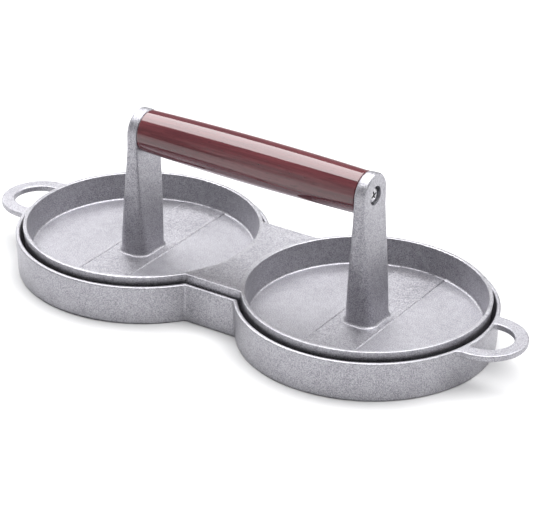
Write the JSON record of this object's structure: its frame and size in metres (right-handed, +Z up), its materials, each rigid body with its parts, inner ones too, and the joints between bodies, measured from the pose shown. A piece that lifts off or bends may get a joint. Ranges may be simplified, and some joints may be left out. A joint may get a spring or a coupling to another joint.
{
  "type": "patty press",
  "caption": "Cast patty press: a mould with side-by-side round wells and finger-loop ears, and a matching lift-off plunger with upright posts and a turned wooden grip.",
  "frame": {"origin": "on the table, midway between the wells, under the middle of the press", "axes": "+X runs along the wells to the right-hand ear, +Y to the back, +Z up"},
  "size_m": [0.2934, 0.1252, 0.0851],
  "materials": {
    "mould_casting": "satin shot-blasted casting",
    "plunger_casting": "satin shot-blasted casting",
    "lacquered_wood": "gloss lacquer over a dark red-brown stain",
    "screw_steel": "bright zinc plate",
    "washer_steel": "dull zinc plate",
    "insert_brass": "machined"
  },
  "bodies": {
    "mould": {"base_mould": "mould_casting"},
    "plunger": {"press_plunger": "plunger_casting", "handle_grip": "lacquered_wood", "handle_screw_left": "screw_steel", "handle_screw_right": "screw_steel", "lock_washer_left": "washer_steel", "lock_washer_right": "washer_steel", "threaded_insert_left": "insert_brass", "threaded_insert_right": "insert_brass"}
  },
  "joints": [
    {"name": "plunger_lift", "type": "slide", "parent": "mould", "child": "plunger", "axis": [0, 0, 1], "range_m": [0, 0.045]}
  ]
}
